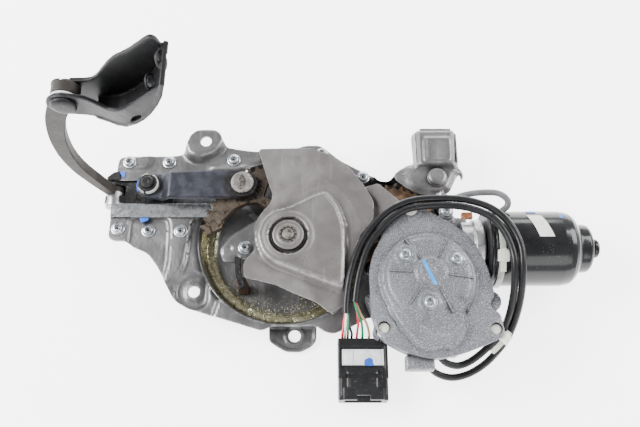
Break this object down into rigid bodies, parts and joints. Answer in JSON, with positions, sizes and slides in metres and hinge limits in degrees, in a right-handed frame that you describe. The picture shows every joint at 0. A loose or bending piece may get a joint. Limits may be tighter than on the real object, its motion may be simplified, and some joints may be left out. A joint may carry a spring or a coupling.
{
  "type": "power tailgate drive unit",
  "caption": "Geared motor in a stamped steel frame that swings a sector gear, slides a crosshead and lifts a curved arm with a hinge bracket.",
  "frame": {"origin": "on the sector gear's shaft axis, level with the surface that the unit lies on", "axes": "+X from the slider towards the motor, +Z away from the surface"},
  "size_m": [0.4096, 0.225, 0.2185],
  "materials": {
    "stamped_steel": "satin stamped steel, slightly soiled",
    "zinc_steel": "bright zinc plate",
    "cast_alloy": "grainy die casting",
    "black_paint": "gloss black paint",
    "link_steel": "dark phosphate coat",
    "hardened_steel": "brown hardened steel, greasy",
    "arm_steel": "bare dark steel",
    "black_plastic": "moulded plastic and cable sheath",
    "white_plastic": "natural nylon",
    "red_plastic": "wire insulation",
    "bronze": "sintered bronze",
    "copper": "copper winding",
    "rubber": "brown rubber"
  },
  "bodies": {
    "frame": {"base_pan": "stamped_steel", "side_bracket": "stamped_steel", "gear_cover": "stamped_steel", "hub_washer": "stamped_steel", "foot_plate": "stamped_steel", "bracket_bolt": "stamped_steel", "rail_channel": "zinc_steel", "main_shaft": "zinc_steel", "idler_pin": "zinc_steel", "shaft_bearing": "zinc_steel", "foot_screw": "zinc_steel", "flange_screw_1": "zinc_steel", "flange_screw_2": "zinc_steel", "flange_screw_3": "zinc_steel", "flange_screw_4": "zinc_steel", "flange_screw_5": "zinc_steel", "flange_screw_6": "zinc_steel", "flange_screw_7": "zinc_steel", "flange_screw_8": "zinc_steel", "cover_screw_1": "zinc_steel", "cover_screw_2": "zinc_steel", "cover_screw_3": "zinc_steel", "gear_case": "cast_alloy", "clutch_cover": "cast_alloy", "motor_can": "black_paint", "stop_lever": "black_paint", "brush_carrier": "black_plastic", "cable_a": "black_plastic", "cable_b": "black_plastic", "connector_housing": "black_plastic", "connector_lock": "white_plastic", "wire_1": "white_plastic", "wire_2": "red_plastic", "clutch_coil": "copper", "stop_bumper": "rubber", "ring_magnet": "rubber", "cable_gland": "rubber", "motor_tie": "white_plastic"},
    "sector": {"sector_gear": "hardened_steel", "sector_bush": "bronze", "crank_pin": "zinc_steel"},
    "link": {"drive_link": "link_steel", "link_stud": "link_steel", "link_nut": "link_steel"},
    "slider": {"slider_block": "zinc_steel", "arm_pin": "zinc_steel"},
    "arm": {"lift_arm": "arm_steel", "pin_washer": "white_plastic"},
    "bracket": {"hinge_bracket": "black_paint", "gate_pin": "black_paint"},
    "idler": {"idler_gear": "hardened_steel"},
    "output": {"output_shaft": "hardened_steel", "clutch_rotor": "zinc_steel"},
    "wheel": {"worm_wheel": "white_plastic", "clutch_plate": "zinc_steel"},
    "armature": {"motor_shaft": "zinc_steel", "worm": "zinc_steel", "armature_core": "copper", "commutator": "copper"}
  },
  "joints": [
    {"name": "sector_swing", "type": "hinge", "parent": "frame", "child": "sector", "pos_m": [0, 0, 0.025], "axis": [0, 0, 1], "range_deg": [-76.7, 0]},
    {"name": "link_swing", "type": "hinge", "parent": "sector", "child": "link", "pos_m": [-0.038, 0.048, 0.033], "axis": [0, 0, 1], "range_deg": [0, 76.8]},
    {"name": "slider_travel", "type": "slide", "parent": "frame", "child": "slider", "axis": [1, 0, 0], "range_m": [0, 0.0762]},
    {"name": "arm_swing", "type": "hinge", "parent": "slider", "child": "arm", "pos_m": [-0.146, 0.049, 0.015], "axis": [0, 1, 0], "range_deg": [-50, 35]},
    {"name": "bracket_swing", "type": "hinge", "parent": "arm", "child": "bracket", "pos_m": [-0.135, 0.049, 0.173], "axis": [0, 1, 0], "range_deg": [-90, 45]},
    {"name": "idler_spin", "type": "hinge", "parent": "frame", "child": "idler", "pos_m": [0.08285, 0.01761, 0.015], "axis": [0, 0, 1], "range_deg": [0, 380]},
    {"name": "output_spin", "type": "hinge", "parent": "frame", "child": "output", "pos_m": [0.10637, -0.03321, 0.015], "axis": [0, 0, 1], "range_deg": [-682, 0]},
    {"name": "armature_spin", "type": "hinge", "parent": "frame", "child": "armature", "pos_m": [0.15, -0.00561, 0.031], "axis": [1, 0, 0], "continuous": true},
    {"name": "worm_wheel_spin", "type": "hinge", "parent": "frame", "child": "wheel", "pos_m": [0.10637, -0.03321, 0.031], "axis": [0, 0, 1], "continuous": true}
  ],
  "couplings": [
    {"joint": "link_swing", "follows": "sector_swing", "ratio": -1},
    {"joint": "slider_travel", "follows": "sector_swing", "m_per_rad": -0.056747},
    {"joint": "idler_spin", "follows": "sector_swing", "ratio": -4.9231},
    {"joint": "output_spin", "follows": "sector_swing", "ratio": 8.8615},
    {"joint": "worm_wheel_spin", "follows": "armature_spin", "ratio": 0.033333}
  ]
}
